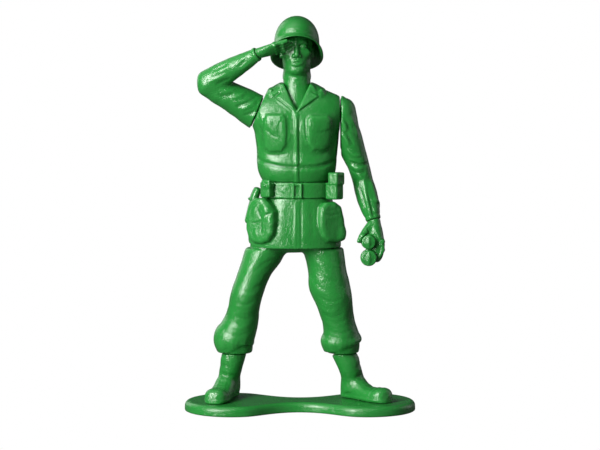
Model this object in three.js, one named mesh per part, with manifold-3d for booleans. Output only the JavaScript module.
// A one-colour toy soldier about 250 mm tall, standing on a waisted base plate. Millimetres, +Z up.
// The origin is on the underside of the base plate, at its centre. The soldier faces -Y, so his right hand is at -X.
// Every limb turns on a mushroom-shaped plug, and the soldier lifts off two pegs that stand up from the base.
import * as THREE from "three";
import { mergeVertices } from "three/addons/utils/BufferGeometryUtils.js";
import Module from "manifold-3d";

const wasm = await Module();
wasm.setup();

// ---- Driving dimensions -------------------------------------------------------------------------
const MID = -2; // x of the soldier's own middle plane
const GAP = 0.35; // clearance between two pieces that touch or turn
const WALL = 2.4; // wall of the cast shells

const BASE_HALF_LENGTH = 73.5;
const BASE_TOP = 6.3;
const BASE_LOBE_RADIUS = 31;
const BASE_NECK_HALF_DEPTH = 12.5;

const SOLE = BASE_TOP + GAP; // underside of both boots
const BOOT_LENGTH = 39;
const PEG_RADIUS = 2.2;
const PEG_REACH = 5.5; // height of a foot peg above the base
const HEM = 104; // lower edge of the jacket skirt
const BELT_LOW = 135.8;
const BELT_HIGH = 145.2;
const WAIST = 146.4; // lower edge of the chest piece
const COLLAR = 206.6; // top of the collar
const CROWN = 250; // top of the helmet

const RIGHT_SHOULDER = new THREE.Vector3(-26.6, 0, 189); // on the cut between chest and arm
const RIGHT_SHOULDER_AXIS = new THREE.Vector3(-0.921, 0, 0.389).normalize();
const LEFT_SHOULDER = new THREE.Vector3(25.1, 0, 188);
const LEFT_SHOULDER_AXIS = new THREE.Vector3(1, 0, 0);
const SHOULDER_GAP = 0.9; // open slit between a sleeve and the chest
const RIGHT_ELBOW = new THREE.Vector3(-58.4, -4, 207.4);
const RIGHT_WRIST = new THREE.Vector3(-26.3, -18.2, 226);
const RIGHT_FINGERTIP = new THREE.Vector3(-4.3, -17.2, 232.6);
const LEFT_WRIST = new THREE.Vector3(46.4, -5.5, 121.6);
const LEFT_FOREARM_TOP = new THREE.Vector3(39.8, 1.4, 146);

const X = new THREE.Vector3(1, 0, 0);
const Y = new THREE.Vector3(0, 1, 0);
const Z = new THREE.Vector3(0, 0, 1);

// ---- Solids -------------------------------------------------------------------------------------
// A closed three.js geometry as a solid that can be joined and cut.
function solid(geometry) {
  const bare = new THREE.BufferGeometry();
  bare.setAttribute("position", geometry.getAttribute("position"));
  bare.setIndex(geometry.index);
  const merged = mergeVertices(bare, 1e-4);
  const points = merged.getAttribute("position").array;
  const kept = [];
  const index = merged.index.array;
  for (let i = 0; i < index.length; i += 3) {
    const [a, b, c] = [index[i], index[i + 1], index[i + 2]];
    if (a !== b && b !== c && a !== c) kept.push(a, b, c);
  }
  const mesh = { numProp: 3, vertProperties: points, triVerts: new Uint32Array(kept) };
  return new wasm.Manifold(new wasm.Mesh(mesh));
}

// The solid's surface as a geometry for a mesh.
function surfaceOf(body) {
  const mesh = body.getMesh();
  const geometry = new THREE.BufferGeometry();
  geometry.setAttribute("position", new THREE.BufferAttribute(mesh.vertProperties, 3));
  geometry.setIndex(new THREE.BufferAttribute(mesh.triVerts, 1));
  geometry.computeVertexNormals();
  return geometry;
}

function join(...bodies) {
  return bodies.reduce((whole, body) => whole.add(body));
}

function cut(body, ...tools) {
  return tools.reduce((rest, tool) => rest.subtract(tool), body);
}

// A closed body whose skin runs through rings of points, with a flat or pointed fan at each end.
function loft(rings, firstTip = null, lastTip = null) {
  const sides = rings[0].length;
  const tips = [firstTip ?? middleOf(rings[0]), lastTip ?? middleOf(rings.at(-1))];
  const points = [...rings.flat(), ...tips];
  const firstHub = points.length - 2;
  const lastHub = points.length - 1;
  const lastRow = (rings.length - 1) * sides;
  const index = [];
  for (let row = 0; row < rings.length - 1; row++) {
    for (let i = 0; i < sides; i++) {
      const a = row * sides + i;
      const b = row * sides + ((i + 1) % sides);
      index.push(a, b, a + sides, b, b + sides, a + sides);
    }
  }
  for (let i = 0; i < sides; i++) {
    const next = (i + 1) % sides;
    index.push(firstHub, next, i, lastHub, lastRow + i, lastRow + next);
  }
  if (signedVolume(points, index) < 0) index.reverse();
  const geometry = new THREE.BufferGeometry().setFromPoints(points);
  geometry.setIndex(index);
  return solid(geometry);
}

function middleOf(ring) {
  const sum = ring.reduce((total, point) => total.add(point), new THREE.Vector3());
  return sum.divideScalar(ring.length);
}

function signedVolume(points, index) {
  let six = 0;
  for (let i = 0; i < index.length; i += 3) {
    const [a, b, c] = [points[index[i]], points[index[i + 1]], points[index[i + 2]]];
    six += a.dot(new THREE.Vector3().crossVectors(b, c));
  }
  return six / 6;
}

// An oval of half axes a along u and b along v. Squareness 2 is an ellipse, more is boxier.
function oval(centre, u, v, a, b, squareness = 2, sides = 24) {
  const ring = [];
  for (let i = 0; i < sides; i++) {
    const turn = (2 * Math.PI * i) / sides;
    const along = signedPower(Math.cos(turn), 2 / squareness);
    const across = signedPower(Math.sin(turn), 2 / squareness);
    ring.push(centre.clone().addScaledVector(u, a * along).addScaledVector(v, b * across));
  }
  return ring;
}

function signedPower(value, power) {
  return Math.sign(value) * Math.abs(value) ** power;
}

// A body of level slices. Each slice is [z, x, y, half width, half depth, squareness].
function levels(slices, sides = 24, shrink = 0) {
  const rings = slices.map(([z, x, y, width, depth, squareness]) =>
    oval(new THREE.Vector3(x, y, z), X, Y, width - shrink, depth - shrink, squareness, sides),
  );
  return loft(rings);
}

// A limb along stations [x, y, z, half width, half depth]. Depth lies along across, width square to it.
// roundStart and roundEnd are the lengths of the domes on its ends.
function limb(stations, across = Y, { sides = 16, roundStart = 0, roundEnd = 0 } = {}) {
  const centres = stations.map(([x, y, z]) => new THREE.Vector3(x, y, z));
  const rings = [];
  const last = stations.length - 1;
  const frameAt = (i) => {
    const before = centres[Math.max(i - 1, 0)];
    const after = centres[Math.min(i + 1, last)];
    const along = after.clone().sub(before).normalize();
    const depthWay = across.clone().addScaledVector(along, -across.dot(along)).normalize();
    return { along, depthWay, widthWay: new THREE.Vector3().crossVectors(along, depthWay) };
  };
  const ringAt = (i, shift, scale) => {
    const { along, depthWay, widthWay } = frameAt(i);
    const [, , , width, depth] = stations[i];
    const centre = centres[i].clone().addScaledVector(along, shift);
    return oval(centre, widthWay, depthWay, width * scale, depth * scale, 2, sides);
  };
  const dome = [
    [0.92, 0.4],
    [0.62, 0.78],
  ]; // [height, width] of the rings on a rounded end, as shares
  if (roundStart) dome.forEach(([h, w]) => rings.push(ringAt(0, -roundStart * h, w)));
  stations.forEach((_, i) => rings.push(ringAt(i, 0, 1)));
  if (roundEnd) dome.toReversed().forEach(([h, w]) => rings.push(ringAt(last, roundEnd * h, w)));
  const firstTip = centres[0].clone().addScaledVector(frameAt(0).along, -roundStart);
  const lastTip = centres[last].clone().addScaledVector(frameAt(last).along, roundEnd);
  return loft(rings, firstTip, lastTip);
}

// A body turned about an axis through a point. The profile is [radius, distance along the axis].
function turned(profile, point, axis, sides = 20) {
  const geometry = new THREE.LatheGeometry(
    profile.map(([radius, along]) => new THREE.Vector2(radius, along)),
    sides,
  );
  geometry.applyQuaternion(new THREE.Quaternion().setFromUnitVectors(Y, axis));
  geometry.translate(point.x, point.y, point.z);
  if (profile.at(-1)[1] < profile[0][1]) geometry.index.array.reverse();
  return solid(geometry);
}

function rod(radius, low, high, point, axis, sides = 16) {
  const profile = [
    [0, low],
    [radius, low],
    [radius, high],
    [0, high],
  ];
  return turned(profile, point, axis, sides);
}

// A stem with a wide head at each end: it is glued into one piece and turns in the other.
// Lengths run along its axis: root and ledge bound the first head, farLedge and far the second.
function plugProfile({ stem, headRadius, root, ledge, farLedge, far }) {
  return [
    [0, root],
    [headRadius, root],
    [headRadius, ledge],
    [stem, ledge],
    [stem, farLedge],
    [headRadius, farLedge],
    [headRadius * 0.8, far],
    [0, far],
  ];
}

// The room that a plug needs, a gap wider and longer than the plug on every side.
function plugRoom(plug, gap = GAP) {
  const way = Math.sign(plug.far - plug.root) * gap;
  return plugProfile({
    stem: plug.stem + gap,
    headRadius: plug.headRadius + gap,
    root: plug.root - way,
    ledge: plug.ledge + way,
    farLedge: plug.farLedge - way,
    far: plug.far + way,
  });
}

// A block with rounded upright edges, standing on z = low, turned by angle about Z.
function block({ x, y, low, high, width, depth, angle, corner = 1 }) {
  const outline = new THREE.Shape();
  const [w, d] = [width / 2 - corner, depth / 2 - corner];
  outline.absarc(w, d, corner, 0, Math.PI / 2);
  outline.absarc(-w, d, corner, Math.PI / 2, Math.PI);
  outline.absarc(-w, -d, corner, Math.PI, 1.5 * Math.PI);
  outline.absarc(w, -d, corner, 1.5 * Math.PI, 2 * Math.PI);
  const geometry = new THREE.ExtrudeGeometry(outline, {
    depth: high - low,
    bevelEnabled: false,
    curveSegments: 4,
  });
  geometry.rotateZ(angle);
  geometry.translate(x, y, low);
  return solid(geometry);
}

// Everything on the side of a plane that its normal points to, as far as the figure reaches.
function beyond(point, normal) {
  const reach = 200;
  const geometry = new THREE.BoxGeometry(reach, reach, reach);
  geometry.translate(0, 0, reach / 2);
  geometry.applyQuaternion(new THREE.Quaternion().setFromUnitVectors(Z, normal));
  geometry.translate(point.x, point.y, point.z);
  return solid(geometry);
}

// A pad that swells from a surface: an ellipsoid turned to face along angle from -Y towards +X.
function pad(centre, halfWidth, bulge, halfHeight, angle) {
  const geometry = new THREE.SphereGeometry(1, 16, 10);
  geometry.rotateX(Math.PI / 2);
  geometry.scale(halfWidth, bulge, halfHeight);
  geometry.rotateZ(angle);
  geometry.translate(centre.x, centre.y, centre.z);
  return solid(geometry);
}

// A point on the skirt's or belt's oval, facing angle from -Y towards +X, and the way out from it.
function onOval(angle, halfWidth, halfDepth, z) {
  const outward = new THREE.Vector3(Math.sin(angle), -Math.cos(angle), 0);
  const turn = Math.atan2(outward.x * halfWidth, -outward.y * halfDepth);
  const point = new THREE.Vector3(MID + halfWidth * Math.sin(turn), -halfDepth * Math.cos(turn), z);
  return { point, outward };
}

// ---- Base ---------------------------------------------------------------------------------------
const RIGHT_HEEL = new THREE.Vector3(-43.2, 17.5, SOLE);
const RIGHT_TOE_WAY = new THREE.Vector3(-0.3, -0.954, 0).normalize();
const LEFT_HEEL = new THREE.Vector3(28.6, 12.5, SOLE);
const LEFT_TOE_WAY = new THREE.Vector3(0.7, -0.714, 0).normalize();
const PEG_FROM_HEEL = 15;

function baseOutline(inset) {
  const lobe = BASE_LOBE_RADIUS - inset;
  const centre = BASE_HALF_LENGTH - BASE_LOBE_RADIUS;
  const neck = BASE_NECK_HALF_DEPTH - inset;
  const outline = new THREE.Shape();
  const flank = Math.PI / 2.6; // where each lobe's round end runs out into the neck
  outline.absarc(centre, 0, lobe, -Math.PI / 2 - 0.25, Math.PI / 2 + 0.25, false);
  const [sx, sy] = [centre - lobe * Math.sin(0.25), lobe * Math.cos(0.25)];
  const pull = centre * Math.sin(flank) * 0.42;
  outline.bezierCurveTo(sx - 10, sy - 2.5, pull, neck, 0, neck);
  outline.bezierCurveTo(-pull, neck, -sx + 10, sy - 2.5, -sx, sy);
  outline.absarc(-centre, 0, lobe, Math.PI / 2 - 0.25, 1.5 * Math.PI + 0.25, false);
  outline.bezierCurveTo(-sx + 10, -sy + 2.5, -pull, -neck, 0, -neck);
  outline.bezierCurveTo(pull, -neck, sx - 10, -sy + 2.5, sx, -sy);
  return outline;
}

// Slices of the plate, from its flat underside to its top with a rounded upper edge.
function basePlate() {
  const edge = 3.2; // radius of the rounded upper edge
  const slices = [
    [0, 0.4],
    [0.5, 0],
    [BASE_TOP - edge, 0.15],
    ...[22.5, 45, 67.5].map((degrees) => {
      const turn = THREE.MathUtils.degToRad(degrees);
      return [BASE_TOP - edge + edge * Math.sin(turn), edge * (1 - Math.cos(turn)) + 0.15];
    }),
    [BASE_TOP, edge + 1.2],
  ];
  const rings = slices.map(([z, inset]) =>
    baseOutline(inset)
      .getSpacedPoints(60)
      .slice(0, -1)
      .map((point) => new THREE.Vector3(point.x, point.y, z)),
  );
  const sockets = [RIGHT_HEEL, LEFT_HEEL].map((heel, i) =>
    rod(PEG_RADIUS + GAP, 1.2, BASE_TOP + 1, pegPlace(heel, [RIGHT_TOE_WAY, LEFT_TOE_WAY][i]), Z),
  );
  return cut(loft(rings), ...sockets);
}

function pegPlace(heel, toeWay) {
  const place = heel.clone().addScaledVector(toeWay, PEG_FROM_HEEL);
  return place.setZ(0);
}

function footPeg(heel, toeWay) {
  const top = SOLE + PEG_REACH;
  const profile = [
    [0, 1.2 + GAP],
    [PEG_RADIUS, 1.2 + GAP],
    [PEG_RADIUS, top - 0.8],
    [PEG_RADIUS - 0.8, top],
    [0, top],
  ];
  return turned(profile, pegPlace(heel, toeWay), Z, 16);
}

// ---- Boots and trousers -------------------------------------------------------------------------
const RIGHT_CUFF = new THREE.Vector3(-41.8, 4.5, 36);
const LEFT_CUFF = new THREE.Vector3(27.6, 4.5, 36);
const BOOT_PLUG_RADIUS = 6; // the part of a boot inside its trouser leg
const BOOT_PLUG_HEIGHT = 9;

// A boot runs from heel along toeWay. Foot slices are [share of length, half width, height of its top].
// instep is the height of the foot where it leaves the shaft.
function boot(heel, toeWay, cuff, instep) {
  const side = new THREE.Vector3().crossVectors(Z, toeWay);
  const slices = [
    [0.0, 3.4, 9],
    [0.04, 5.2, 13],
    [0.12, 6.3, 16],
    [0.27, 6.4, 18],
    [0.42, 6.5, instep],
    [0.56, 6.9, instep * 0.55 + 2.2],
    [0.7, 7.5, 8.4],
    [0.84, 7.5, 7.8],
    [0.94, 6.2, 6.9],
    [1.0, 3.6, 4.2],
  ];
  const sunk = 2; // the slices dip below the sole, which is cut flat afterwards
  const rings = slices.map(([share, width, top]) => {
    const centre = heel.clone().addScaledVector(toeWay, share * BOOT_LENGTH);
    centre.z += (top - sunk) / 2;
    return oval(centre, side, Z, width, (top + sunk) / 2, 2.5, 20);
  });
  const ankle = heel.clone().addScaledVector(toeWay, 0.27 * BOOT_LENGTH);
  const shaft = limb(
    [
      [ankle.x * 0.8 + heel.x * 0.2, ankle.y * 0.8 + heel.y * 0.2, SOLE + 5, 6.2, 7.2],
      [ankle.x * 0.65 + heel.x * 0.35, ankle.y * 0.65 + heel.y * 0.35, SOLE + 12, 6.6, 7.4],
      [ankle.x * 0.5 + cuff.x * 0.5, ankle.y * 0.5 + cuff.y * 0.5, SOLE + 20, 7.2, 7.8],
      [cuff.x, cuff.y, cuff.z - GAP, 9, 9.2],
    ],
    Y,
    { sides: 16 },
  );
  const plug = rod(BOOT_PLUG_RADIUS, -3, BOOT_PLUG_HEIGHT, cuff, Z);
  const pegHole = rod(PEG_RADIUS + GAP, -5, SOLE + PEG_REACH + GAP, pegPlace(heel, toeWay), Z);
  const below = beyond(new THREE.Vector3(0, 0, SOLE), Z.clone().negate());
  const above = beyond(new THREE.Vector3(0, 0, cuff.z - GAP), Z);
  return cut(join(cut(join(loft(rings), shaft), above), plug), below, pegHole);
}

function trousers() {
  const right = limb(
    [
      [-17.6, 0.5, 112, 13, 14],
      [-22.6, 0.5, 101, 12.2, 13.6],
      [-28.4, 0, 89, 10.2, 12.8],
      [-31.6, -0.5, 80.5, 9.9, 12.2],
      [-34.2, -1, 72.5, 10.1, 11.8],
      [-35.8, 0.5, 64.5, 10, 11.4],
      [-37.2, 2.2, 57, 10.9, 12],
      [-40, 3.4, 49.5, 12.1, 13],
      [-42.1, 4, 43.4, 13, 13.2],
      [-42.3, 4.3, 39.4, 12.4, 12.6],
      [RIGHT_CUFF.x, RIGHT_CUFF.y, RIGHT_CUFF.z, 11.2, 11.4],
    ],
    Y,
    { sides: 18 },
  );
  const left = limb(
    [
      [12, 0.5, 112, 13.2, 14],
      [15.2, 0.5, 101, 12.6, 13.6],
      [17.3, 0, 89, 12.2, 13.2],
      [18.4, -0.5, 80.5, 13, 12.8],
      [21, -1, 72.5, 12, 12],
      [22.8, 0.3, 64.5, 11, 11.4],
      [24.4, 2, 57, 10.3, 11.6],
      [25.8, 3.2, 49.5, 11.2, 12.6],
      [26.2, 4, 43, 12.7, 13.2],
      [26.4, 4.3, 39.4, 12.5, 12.8],
      [LEFT_CUFF.x - 1.2, LEFT_CUFF.y, LEFT_CUFF.z, 11.8, 11.6],
    ],
    Y,
    { sides: 18 },
  );
  const pelvis = levels([
    [101, MID - 1, 0.5, 13, 8, 2.4],
    [104.5, MID, 0.5, 19.5, 14, 2.4],
    [112, MID, 0.5, 20.5, 14.5, 2.4],
    [124, MID, 0.5, 18.5, 12, 2.3],
  ]);
  const bootRooms = [RIGHT_CUFF, LEFT_CUFF].map((cuff) =>
    rod(BOOT_PLUG_RADIUS + GAP, -2, BOOT_PLUG_HEIGHT + GAP, cuff, Z),
  );
  const insideSkirt = cut(levels(SKIRT_ROOM, 24, GAP), beyond(new THREE.Vector3(0, 0, HEM), Z.clone().negate()));
  const above = beyond(new THREE.Vector3(0, 0, HEM), Z);
  const belowCuffs = beyond(new THREE.Vector3(0, 0, RIGHT_CUFF.z), Z.clone().negate());
  const legs = join(right, left, pelvis);
  return cut(join(cut(legs, above), legs.intersect(insideSkirt)), belowCuffs, ...bootRooms);
}

// ---- Jacket skirt and what hangs on the belt ----------------------------------------------------
const SKIRT = [
  [HEM, -4.4, 0.5, 30, 20.4, 2.2],
  [112, -4.2, 0.4, 29.7, 20, 2.2],
  [122, -3.4, 0.2, 27.2, 18.6, 2.2],
  [130, -2.6, 0, 24.4, 17, 2.2],
  [BELT_LOW - 0.4, MID, 0, 22, 15.8, 2.2],
  [BELT_LOW - 0.2, MID, 0, 21.2, 15, 2.2],
  [BELT_HIGH + 0.4, MID, 0, 21.2, 15, 2.2],
];
const SKIRT_ROOM = [
  [HEM - 10, -4.4, 0.5, 27.6, 18, 2.2],
  [HEM, -4.4, 0.5, 27.6, 18, 2.2],
  [112, -4.2, 0.4, 27, 17.4, 2.2],
  [122, -3.4, 0.2, 24.2, 15.8, 2.2],
  [128, -2.8, 0, 20, 13, 2.2],
];
const WAIST_PLUG = {
  stem: 6,
  headRadius: 9,
  root: 138,
  ledge: 141,
  farLedge: WAIST + WALL + 0.6,
  far: WAIST + WALL + 3.4,
};
const MIDDLE = new THREE.Vector3(MID, 0, 0);
const POCKET_ANGLE = THREE.MathUtils.degToRad(47);

function jacketSkirt() {
  const pockets = [-POCKET_ANGLE, POCKET_ANGLE].map((angle) => {
    const { point } = onOval(angle, 26.6, 18.8, 120);
    return pad(point, 10.8, 4.6, 14.6, angle);
  });
  const waistRoom = turned(plugRoom(WAIST_PLUG), MIDDLE, Z);
  const topCut = beyond(new THREE.Vector3(0, 0, BELT_LOW - 0.2), Z);
  const body = levels(SKIRT);
  const waist = body.intersect(topCut);
  return cut(join(cut(join(body, ...pockets), topCut), waist), levels(SKIRT_ROOM), waistRoom);
}

const BELT = { width: 23.2, depth: 17 };

function belt() {
  const ringOf = (grow, low, high) =>
    levels([
      [low, MID, 0, BELT.width + grow, BELT.depth + grow, 2.2],
      [high, MID, 0, BELT.width + grow, BELT.depth + grow, 2.2],
    ]);
  const band = ringOf(0, BELT_LOW, BELT_HIGH);
  const bars = [-2.2, 2.6].map((x) =>
    block({
      x: MID + x,
      y: -BELT.depth,
      low: BELT_LOW,
      high: BELT_HIGH,
      width: 2.2,
      depth: 2.4,
      angle: 0,
      corner: 0.5,
    }),
  );
  const inside = levels(
    [
      [BELT_LOW - 1, MID, 0, 21.2, 15, 2.2],
      [BELT_HIGH + 1, MID, 0, 21.2, 15, 2.2],
    ],
    24,
    -GAP,
  );
  return cut(join(band, ...bars), inside);
}

const CHEST_SWEEP = 24.9; // radius of the circle that the chest's lower rim turns in

// A pouch on the belt, turned to face along angle, cut back where the chest turns past it.
function pouch({ x, y, angle, width, depth, low, high }) {
  const outward = new THREE.Vector3(Math.sin(angle), -Math.cos(angle), 0);
  const bag = block({ x, y, low, high, width, depth, angle, corner: 1.2 });
  const lid = block({
    x: x + outward.x * 0.5,
    y: y + outward.y * 0.5,
    low: high - (high - low) * 0.45,
    high: high + 0.4,
    width: width + 0.8,
    depth: depth + 0.4,
    angle,
    corner: 1.2,
  });
  const sweep = rod(CHEST_SWEEP, WAIST - 0.6, 170, MIDDLE, Z, 48);
  const skirt = levels(SKIRT, 24, -GAP);
  const band = levels(
    [
      [BELT_LOW - GAP, MID, 0, BELT.width, BELT.depth, 2.2],
      [BELT_HIGH + GAP, MID, 0, BELT.width, BELT.depth, 2.2],
    ],
    24,
    -GAP,
  );
  return cut(join(bag, lid), sweep, skirt, band);
}

const AMMO_POUCH = {
  x: 21.6,
  y: -12.6,
  angle: THREE.MathUtils.degToRad(56),
  width: 8.4,
  depth: 8.8,
  low: 135,
  high: 151.6,
};
const FIRST_AID_POUCH = {
  x: -19.9,
  y: -14.6,
  angle: THREE.MathUtils.degToRad(-38),
  width: 6.2,
  depth: 5.4,
  low: 136.4,
  high: 147.2,
};

function holster() {
  const body = limb(
    [
      [-26.7, 5.5, 140.4, 2.2, 4.6],
      [-28.6, 5.5, 135.4, 2.6, 5],
      [-30.4, 5.5, 129.6, 2.6, 4.8],
      [-32.9, 5.5, 120.6, 2.3, 3.8],
    ],
    Y,
    { sides: 16, roundStart: 1.2, roundEnd: 2.2 },
  );
  const flap = limb(
    [
      [-27.1, 5.5, 140.4, 2.4, 5],
      [-29.6, 5.5, 133.4, 2.9, 5.4],
    ],
    Y,
    { sides: 16, roundStart: 1.2, roundEnd: 0.8 },
  );
  const skirt = levels(SKIRT, 24, -GAP);
  const band = levels(
    [
      [BELT_LOW - GAP, MID, 0, BELT.width, BELT.depth, 2.2],
      [BELT_HIGH + GAP, MID, 0, BELT.width, BELT.depth, 2.2],
    ],
    24,
    -GAP,
  );
  const pocketRoom = pad(onOval(-POCKET_ANGLE, 26.6, 18.8, 120).point, 11.2, 5, 15, -POCKET_ANGLE);
  const sweep = rod(CHEST_SWEEP, WAIST - 0.6, 170, MIDDLE, Z, 48);
  return cut(join(body, flap), skirt, band, pocketRoom, sweep);
}

// ---- Chest --------------------------------------------------------------------------------------
const CHEST = [
  [WAIST, MID, 0, 20.4, 15, 2.3],
  [147.6, MID, 0, 22.4, 16.4, 2.3],
  [151, MID, 0, 24.1, 17.4, 2.3],
  [157, MID, 0, 25.2, 17.6, 2.3],
  [164.4, -1.8, 0, 25.4, 16.6, 2.3],
  [171, -1.8, -0.3, 26.2, 17.4, 2.3],
  [177, MID, -0.5, 26.8, 17.8, 2.4],
  [183.5, MID, -0.5, 29, 17.6, 2.6],
  [190, MID, -0.2, 30.6, 16.6, 2.7],
  [195.5, MID, 0.4, 30, 15, 2.6],
  [199, MID, 0.8, 27.6, 13.4, 2.4],
  [202, MID, 0.8, 21.8, 12, 2.2],
  [204.4, MID, 0.4, 15.4, 11, 2.1],
  [COLLAR, MID, 0, 10.4, 10.2, 2],
];

// The neck swells below the collar, and that round swelling turns inside the chest.
const NECK = [
  [0, 186.5],
  [8, 186.5],
  [11.2, 188.2],
  [12.4, 191],
  [12.2, 194],
  [11, 198],
  [9.8, 202],
  [8.8, 206],
  [8.6, 211],
  [8.5, 216],
  [0, 216],
];

// Its heads sit in the hollow chest and in the solid sleeve.
const SHOULDER_PLUG = { stem: 4.6, headRadius: 7, root: -6.5, ledge: -4, farLedge: 5, far: 8 };

function chest() {
  const inside = levels(
    CHEST.slice(1, -2).map(([z, ...rest], i, all) => {
      const lift = i === 0 ? WALL - 1.2 : i === all.length - 1 ? -WALL * 0.6 : 0;
      return [z + lift, ...rest];
    }),
    20,
    WALL,
  );
  const rightFace = RIGHT_SHOULDER.clone().addScaledVector(RIGHT_SHOULDER_AXIS, 0);
  const trims = [beyond(rightFace, RIGHT_SHOULDER_AXIS), beyond(LEFT_SHOULDER, LEFT_SHOULDER_AXIS)];
  const shoulderWalls = [
    [RIGHT_SHOULDER, RIGHT_SHOULDER_AXIS],
    [LEFT_SHOULDER, LEFT_SHOULDER_AXIS],
  ].map(([point, axis]) => beyond(point.clone().addScaledVector(axis, -WALL - 1), axis));
  const hollow = cut(inside, ...shoulderWalls);
  const outer = cut(levels(CHEST, 28), ...trims);
  const neckRoom = turned(
    NECK.map(([radius, z]) => [radius ? radius + GAP : 0, z === 186.5 ? z - GAP : z + 0.001]),
    MIDDLE,
    Z,
    24,
  );
  const opening = new THREE.Shape();
  opening.moveTo(MID, 191);
  opening.lineTo(MID + 8.8, COLLAR + 2);
  opening.lineTo(MID - 8.8, COLLAR + 2);
  const neckline = new THREE.ExtrudeGeometry(opening, { depth: 26, bevelEnabled: false });
  neckline.rotateX(Math.PI / 2);
  neckline.translate(0, -2, 0);
  const vee = solid(neckline);
  const holes = [
    rod(SHOULDER_PLUG.stem + GAP, -WALL - 3, 2, RIGHT_SHOULDER, RIGHT_SHOULDER_AXIS),
    rod(SHOULDER_PLUG.stem + GAP, -WALL - 3, 2, LEFT_SHOULDER, LEFT_SHOULDER_AXIS),
    turned(plugRoom(WAIST_PLUG), MIDDLE, Z),
  ];
  return cut(outer, hollow, neckRoom, vee, ...holes);
}

// ---- Head and helmet ----------------------------------------------------------------------------
function head() {
  const skull = levels(
    [
      [213.4, MID, -7.6, 3.4, 2.6, 2],
      [214.6, MID, -6, 5.6, 5, 2],
      [217.4, MID, -3, 7.7, 8.5, 2.1],
      [221, MID, -1.2, 8.9, 10.6, 2.1],
      [226, MID, -0.4, 9.5, 11.4, 2.1],
      [231, MID, 0.2, 9.9, 11.8, 2.1],
      [236, MID, 0.8, 10, 11.8, 2.1],
      [240.5, MID, 1.2, 9, 10.6, 2.1],
      [243.8, MID, 1.5, 6.4, 7.8, 2],
      [245.6, MID, 1.6, 2.6, 3.4, 2],
    ],
    20,
  );
  const neck = turned(NECK, MIDDLE, Z, 24);
  const nose = limb(
    [
      [MID, -10.6, 231.5, 1.1, 1],
      [MID, -11.8, 227.6, 1.4, 1.4],
      [MID, -12.6, 224.6, 1.9, 1.7],
    ],
    Y,
    { sides: 8, roundStart: 0.8, roundEnd: 1 },
  );
  const ears = [-1, 1].map((side) =>
    pad(new THREE.Vector3(MID + side * 9.9, 1.2, 227), 1.1, 2, 3.4, 0),
  );
  return join(skull, neck, nose, ...ears);
}

const HELMET = { halfWidth: 14.2, halfLength: 16.8, middleY: 1, wall: 1.3 };

// Height of the helmet's rim and of the line where its dome starts to flare, by angle from the front.
const rimHeight = (turn) => 226.6 + 10.6 * Math.cos(turn) - 1.8 * Math.sin(turn) ** 2;
const flareHeight = (turn) => 233 + 6.5 * Math.cos(turn);

// One lap round the helmet. share runs from 0 at the crown to 1 at the flare line and 2 at the rim.
function helmetRing(share, inset, sides = 28) {
  const ring = [];
  for (let i = 0; i < sides; i++) {
    const turn = (2 * Math.PI * i) / sides;
    const fall = (Math.min(share, 1) * Math.PI) / 2;
    const flare = Math.max(share - 1, 0);
    const brim = 2.3 + 2 * Math.max(Math.cos(turn), 0) ** 2 + 0.8 * Math.max(-Math.cos(turn), 0);
    const out = Math.sin(fall) + 0.001;
    const spread = brim * flare ** 1.5;
    const width = HELMET.halfWidth * out + spread - inset;
    const length = HELMET.halfLength * out + spread - inset;
    const top = CROWN - inset - flareHeight(turn);
    const drop = (flareHeight(turn) - rimHeight(turn)) * flare;
    const z = flareHeight(turn) + top * Math.cos(fall) - drop;
    ring.push(new THREE.Vector3(MID + width * Math.sin(turn), HELMET.middleY - length * Math.cos(turn), z));
  }
  return ring;
}

function helmet() {
  const shares = [0.16, 0.34, 0.52, 0.7, 0.86, 1, 1.35, 1.7, 2];
  const outside = shares.map((share) => helmetRing(share, 0));
  const inside = shares.toReversed().map((share) => helmetRing(share, HELMET.wall));
  const crown = new THREE.Vector3(MID, HELMET.middleY, CROWN);
  return loft([...outside, ...inside], crown, crown.clone().setZ(CROWN - HELMET.wall));
}

// ---- Arms and hands -----------------------------------------------------------------------------
const RIGHT_WRIST_WAY = RIGHT_WRIST.clone().sub(RIGHT_ELBOW).normalize();
const LEFT_WRIST_WAY = LEFT_WRIST.clone().sub(LEFT_FOREARM_TOP).normalize();
// Its heads sit in the hand and in the cuff.
const WRIST_PLUG = { stem: 1.2, headRadius: 1.9, root: 3, ledge: 1.4, farLedge: -1.6, far: -3.2 };

function shoulderPlug(point, axis) {
  return turned(plugProfile(SHOULDER_PLUG), point, axis);
}

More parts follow.
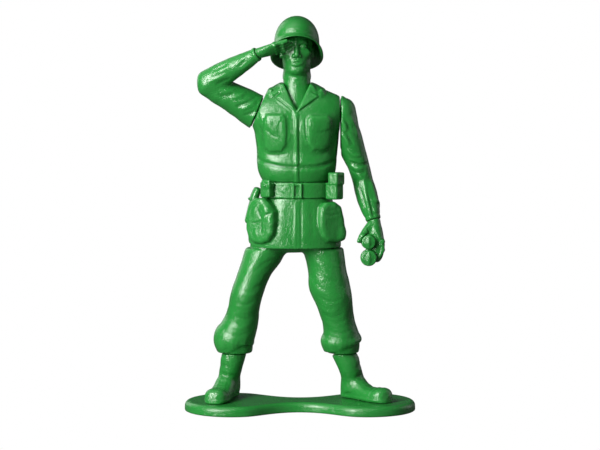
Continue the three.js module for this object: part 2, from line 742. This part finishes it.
function rightArm() {
  const start = RIGHT_SHOULDER;
  const sleeve = limb(
    [
      [start.x + 7, 0, start.z - 2.2, 11.4, 11],
      [start.x, 0, start.z + 0.3, 11.2, 11],
      [-35.7, -0.8, 194.8, 10.2, 10.2],
      [-45.2, -1.8, 200, 9, 9],
      [-53.2, -3, 204.5, 8.4, 8],
      [-58.6, -3.8, 207.4, 7.6, 7.4],
    ],
    Y,
    { sides: 16, roundEnd: 5 },
  );
  const forearm = limb(
    [
      [-58.4, -3.8, 208.2, 7.6, 7.2],
      [-52, -6.2, 211.6, 7.6, 6.9],
      [-44, -9.8, 215.8, 7.1, 6.5],
      [-36.5, -13.4, 220, 6, 5.6],
      [-30.4, -16, 223.4, 4.9, 4.8],
      [RIGHT_WRIST.x, RIGHT_WRIST.y, RIGHT_WRIST.z, 4.2, 4.3],
    ],
    Y,
    { sides: 16, roundStart: 5.4 },
  );
  const face = RIGHT_SHOULDER.clone().addScaledVector(RIGHT_SHOULDER_AXIS, SHOULDER_GAP);
  const chestSide = beyond(face, RIGHT_SHOULDER_AXIS.clone().negate());
  const stemRoom = turned(plugRoom(SHOULDER_PLUG), RIGHT_SHOULDER, RIGHT_SHOULDER_AXIS);
  const wristRoom = turned(plugRoom(WRIST_PLUG, 0.25), RIGHT_WRIST, RIGHT_WRIST_WAY, 16);
  const handSide = beyond(RIGHT_WRIST, RIGHT_WRIST_WAY);
  return cut(join(sleeve, forearm), chestSide, stemRoom, wristRoom, handSide);
}

function leftArm() {
  const sleeve = limb(
    [
      [24, 0, 195.8, 5.4, 8.4],
      [26.2, 0, 192.2, 8, 10],
      [27.6, 0, 186, 8.4, 10.6],
      [28.8, 0.2, 179, 8.6, 10.2],
      [31, 0.5, 172, 8.6, 9.6],
      [33.6, 0.9, 164.5, 7.9, 8.8],
      [36.8, 1.3, 156.5, 7, 7.9],
      [38.9, 1.5, 149.5, 6.5, 7.3],
      [LEFT_FOREARM_TOP.x, LEFT_FOREARM_TOP.y, LEFT_FOREARM_TOP.z, 6.5, 7.1],
      [41.3, -0.6, 140.4, 6.8, 6.9],
      [43.3, -2.8, 133, 6.5, 6.4],
      [45.1, -4.6, 126.2, 5.4, 5.4],
      [LEFT_WRIST.x, LEFT_WRIST.y, LEFT_WRIST.z, 4.5, 4.8],
    ],
    Y,
    { sides: 16, roundStart: 3 },
  );
  const face = LEFT_SHOULDER.clone().addScaledVector(LEFT_SHOULDER_AXIS, SHOULDER_GAP);
  const chestSide = beyond(face, LEFT_SHOULDER_AXIS.clone().negate());
  const stemRoom = turned(plugRoom(SHOULDER_PLUG), LEFT_SHOULDER, LEFT_SHOULDER_AXIS);
  const wristRoom = turned(plugRoom(WRIST_PLUG, 0.25), LEFT_WRIST, LEFT_WRIST_WAY, 16);
  return cut(sleeve, chestSide, stemRoom, wristRoom, beyond(LEFT_WRIST, LEFT_WRIST_WAY));
}

// The flat hand raised to the brow. across runs from the forefinger to the little finger.
function rightHand() {
  const along = RIGHT_FINGERTIP.clone().sub(RIGHT_WRIST);
  const length = along.length();
  along.normalize();
  const across = new THREE.Vector3(0.05, -0.76, 0.65);
  across.addScaledVector(along, -across.dot(along)).normalize();
  const spot = (share, sideways, lift = 0) => {
    const up = new THREE.Vector3().crossVectors(across, along);
    return RIGHT_WRIST.clone()
      .addScaledVector(along, share * length)
      .addScaledVector(across, sideways)
      .addScaledVector(up, lift)
      .toArray();
  };
  const palm = limb(
    [
      [...spot(0.0, 0), 3.2, 3.4],
      [...spot(0.14, 0), 3, 3.9],
      [...spot(0.3, 0), 2.6, 4.5],
      [...spot(0.46, 0), 2.1, 4.9],
      [...spot(0.56, 0), 1.6, 4.7],
    ],
    across,
    { sides: 16, roundEnd: 1.2 },
  );
  const reaches = [0.97, 1.0, 0.96, 0.86]; // forefinger to little finger
  const fingers = reaches.map((reach, i) => {
    const sideways = (i - 1.5) * 2.45;
    return limb(
      [
        [...spot(0.46, sideways), 1.4, 1.35],
        [...spot(0.72, sideways * 0.98, -0.1), 1.3, 1.28],
        [...spot(reach - 0.05, sideways * 0.92, 0.5), 1.1, 1.15],
      ],
      across,
      { sides: 8, roundStart: 1, roundEnd: 1.1 },
    );
  });
  const thumb = limb(
    [
      [...spot(0.2, -2.6), 1.6, 1.7],
      [...spot(0.4, -4.6, 0.8), 1.5, 1.5],
      [...spot(0.62, -5.2, 1.2), 1.2, 1.25],
    ],
    across,
    { sides: 8, roundStart: 1.2, roundEnd: 1.2 },
  );
  const wristFace = RIGHT_WRIST.clone().addScaledVector(RIGHT_WRIST_WAY, GAP);
  const armSide = beyond(wristFace, RIGHT_WRIST_WAY.clone().negate());
  const stemRoom = turned(plugRoom(WRIST_PLUG, 0.25), RIGHT_WRIST, RIGHT_WRIST_WAY, 16);
  return cut(join(palm, ...fingers, thumb), armSide, stemRoom);
}

const UPPER_BARREL = { x: 43, z: 107.4, radius: 4.2 };
const LOWER_BARREL = { x: 43.4, z: 97.1, radius: 5.3 };
const BARREL_FRONT = -17.5;
const BARREL_BACK = -1;

// The hand that hangs by the hip, closed round the field glasses from the outside.
function leftHand() {
  const palm = limb(
    [
      [LEFT_WRIST.x, LEFT_WRIST.y, LEFT_WRIST.z, 4.1, 4.3],
      [47.1, -6.3, 118.4, 4.1, 4.8],
      [48.7, -7.4, 113.8, 3.3, 5.2],
      [50.5, -8.2, 109.4, 2.3, 5.3],
      [51.3, -8.6, 106, 1.8, 5.2],
    ],
    Y,
    { sides: 16, roundEnd: 1.2 },
  );
  const fingers = [0, 1, 2, 3].map((i) => {
    const y = -12.4 + i * 2.55;
    return limb(
      [
        [51.2, y, 108.6, 1.5, 1.35],
        [51.7, y, 104.4, 1.45, 1.35],
        [50.7, y, 100.4, 1.4, 1.3],
        [49, y, 97.6, 1.25, 1.25],
      ],
      Y,
      { sides: 8, roundStart: 1, roundEnd: 1.2 },
    );
  });
  const thumb = limb(
    [
      [44.4, -8.4, 118.6, 2.6, 2.6],
      [41.3, -10.6, 114.8, 2.4, 2.4],
      [38.9, -12.8, 111.4, 2.1, 2.1],
      [37.5, -13.8, 109, 1.7, 1.7],
    ],
    Y,
    { sides: 12, roundStart: 1.6, roundEnd: 1.4 },
  );
  const wristFace = LEFT_WRIST.clone().addScaledVector(LEFT_WRIST_WAY, GAP);
  const armSide = beyond(wristFace, LEFT_WRIST_WAY.clone().negate());
  const stemRoom = turned(plugRoom(WRIST_PLUG, 0.25), LEFT_WRIST, LEFT_WRIST_WAY, 16);
  const glassesRoom = [UPPER_BARREL, LOWER_BARREL].map(({ x, z, radius }) =>
    rod(radius + GAP, BARREL_FRONT - 3, BARREL_BACK + 3, new THREE.Vector3(x, 0, z), Y, 24),
  );
  return cut(join(palm, ...fingers, thumb), armSide, stemRoom, ...glassesRoom);
}

function binoculars() {
  const barrel = ({ x, z, radius }) =>
    turned(
      [
        [0, BARREL_FRONT + 1],
        [radius * 0.74, BARREL_FRONT + 1],
        [radius * 0.8, BARREL_FRONT],
        [radius, BARREL_FRONT],
        [radius, BARREL_FRONT + 3.2],
        [radius * 0.9, BARREL_FRONT + 3.8],
        [radius * 0.9, -7],
        [radius * 0.62, -4.6],
        [radius * 0.66, BARREL_BACK],
        [0, BARREL_BACK],
      ],
      new THREE.Vector3(x, 0, z),
      Y,
      24,
    );
  const bridge = block({
    x: (UPPER_BARREL.x + LOWER_BARREL.x) / 2,
    y: -9.5,
    low: LOWER_BARREL.z + LOWER_BARREL.radius * 0.6,
    high: UPPER_BARREL.z - UPPER_BARREL.radius * 0.6,
    width: 3,
    depth: 7,
    angle: 0,
    corner: 0.8,
  });
  return join(barrel(UPPER_BARREL), barrel(LOWER_BARREL), bridge);
}

// ---- Assembly -----------------------------------------------------------------------------------
const skin = () => new THREE.MeshStandardMaterial({ color: 0x2f9440, roughness: 0.32, metalness: 0 });
const peg = () => new THREE.MeshStandardMaterial({ color: 0xd8d6cc, roughness: 0.5, metalness: 0 });

const figure = new THREE.Group();

function add(name, body, material = skin()) {
  const mesh = new THREE.Mesh(surfaceOf(body), material);
  mesh.name = name;
  figure.add(mesh);
}

add("base_plate", basePlate());
add("right_foot_peg", footPeg(RIGHT_HEEL, RIGHT_TOE_WAY), peg());
add("left_foot_peg", footPeg(LEFT_HEEL, LEFT_TOE_WAY), peg());
add("right_boot", boot(RIGHT_HEEL, RIGHT_TOE_WAY, RIGHT_CUFF, 16));
add("left_boot", boot(LEFT_HEEL, LEFT_TOE_WAY, LEFT_CUFF, 11.8));
add("trousers", trousers());
add("jacket_skirt", jacketSkirt());
add("belt", belt());
add("ammo_pouch", pouch(AMMO_POUCH));
add("first_aid_pouch", pouch(FIRST_AID_POUCH));
add("holster", holster());
add("waist_plug", turned(plugProfile(WAIST_PLUG), MIDDLE, Z), peg());
add("chest", chest());
add("head", head());
add("helmet", helmet());
add("right_arm", rightArm());
add("right_shoulder_plug", shoulderPlug(RIGHT_SHOULDER, RIGHT_SHOULDER_AXIS), peg());
add("right_hand", rightHand());
add("right_wrist_plug", turned(plugProfile(WRIST_PLUG), RIGHT_WRIST, RIGHT_WRIST_WAY, 16), peg());
add("left_arm", leftArm());
add("left_shoulder_plug", shoulderPlug(LEFT_SHOULDER, LEFT_SHOULDER_AXIS), peg());
add("left_hand", leftHand());
add("left_wrist_plug", turned(plugProfile(WRIST_PLUG), LEFT_WRIST, LEFT_WRIST_WAY, 16), peg());
add("binoculars", binoculars());

export default figure;
